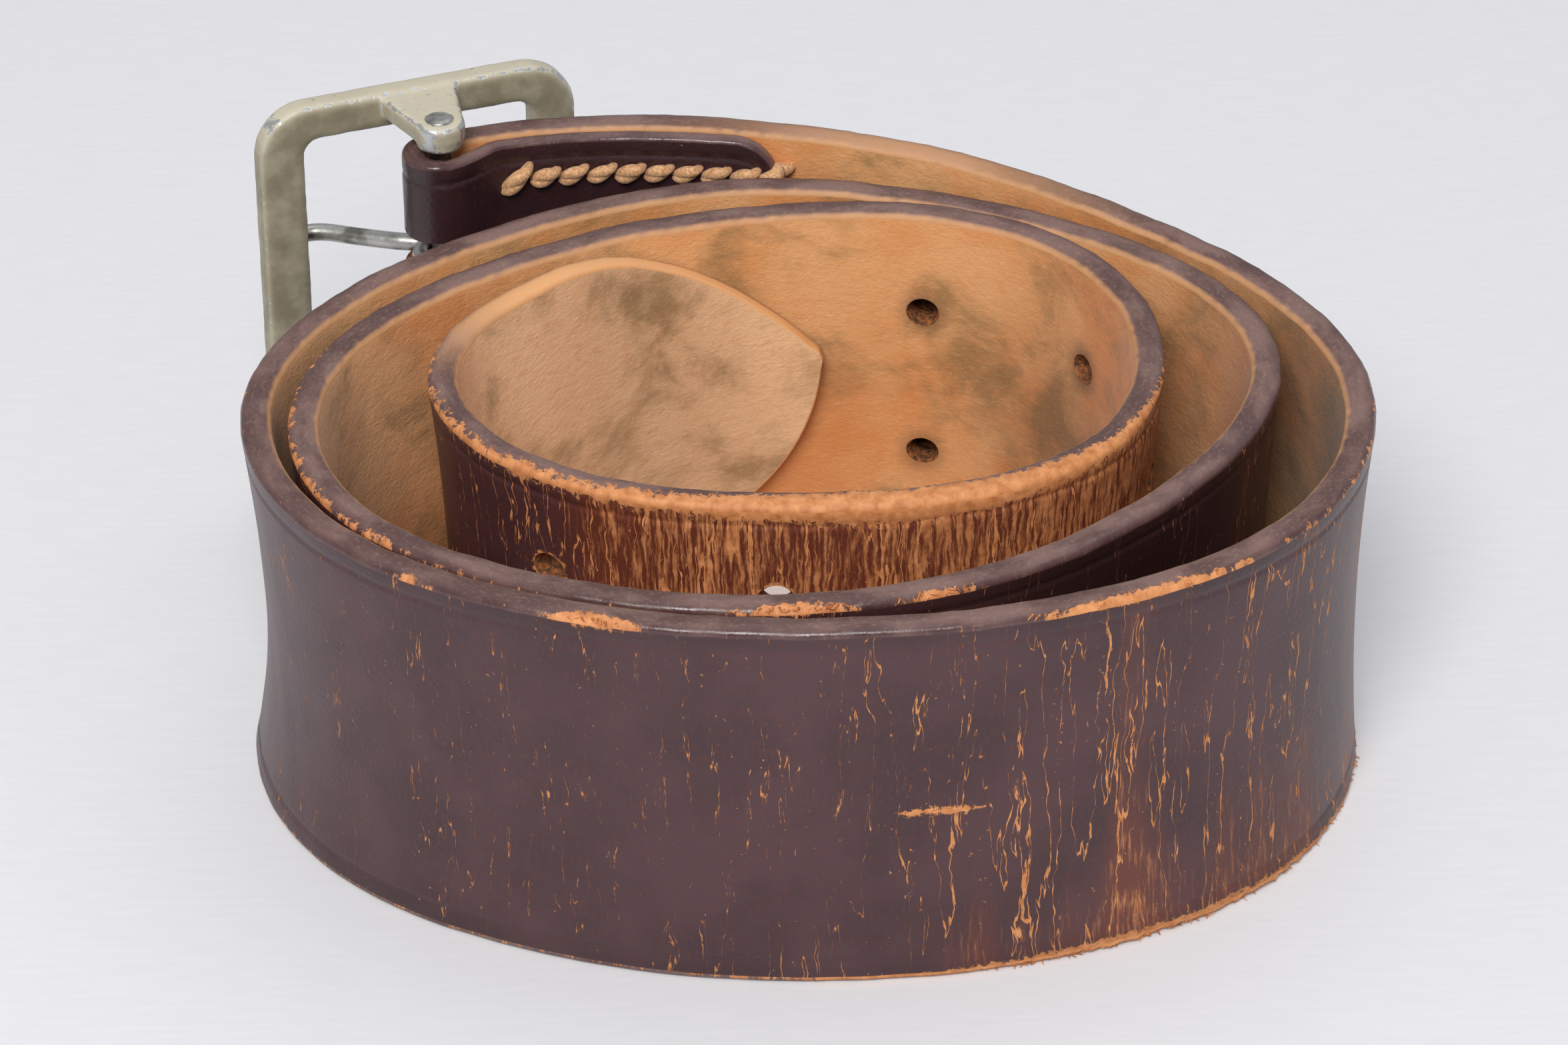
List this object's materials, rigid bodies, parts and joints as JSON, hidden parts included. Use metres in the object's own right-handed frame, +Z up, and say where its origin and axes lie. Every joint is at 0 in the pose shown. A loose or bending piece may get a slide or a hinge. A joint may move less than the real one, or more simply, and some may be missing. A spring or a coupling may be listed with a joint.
{
  "type": "leather belt",
  "caption": "Wide leather belt coiled on its edge, with a rectangular centre-bar buckle, two wire prongs and a stitched fold.",
  "frame": {"origin": "middle of the coiled belt's footprint, on the surface it stands on", "axes": "+Z up along the strap's width, +X the long way of the oval coil, +Y towards the side with the buckle"},
  "size_m": [0.1396, 0.1208, 0.061],
  "materials": {
    "leather": "worn, waxed grain over tan flesh",
    "thread": "waxed linen",
    "frame": "worn olive lacquer over grey metal",
    "steel": "dull wire"
  },
  "bodies": {
    "belt_strap": {"strap": "leather", "seam_upper": "thread", "seam_lower": "thread"},
    "buckle": {"buckle_frame": "frame", "center_bar": "steel"},
    "upper_prong": {"prong_upper": "steel"},
    "lower_prong": {"prong_lower": "steel"}
  },
  "joints": [
    {"name": "buckle_swing", "type": "hinge", "parent": "belt_strap", "child": "buckle", "pos_m": [-0.04494, 0.04144, 0.0306], "axis": [0.0258, 0.0107, 0.9996], "range_deg": [-8, 45]},
    {"name": "upper_prong_swing", "type": "hinge", "parent": "buckle", "child": "upper_prong", "pos_m": [-0.04494, 0.04144, 0.0306], "axis": [0.0258, 0.0107, 0.9996], "range_deg": [-77, 0]},
    {"name": "lower_prong_swing", "type": "hinge", "parent": "buckle", "child": "lower_prong", "pos_m": [-0.04494, 0.04144, 0.0306], "axis": [0.0258, 0.0107, 0.9996], "range_deg": [-77, 0]}
  ]
}
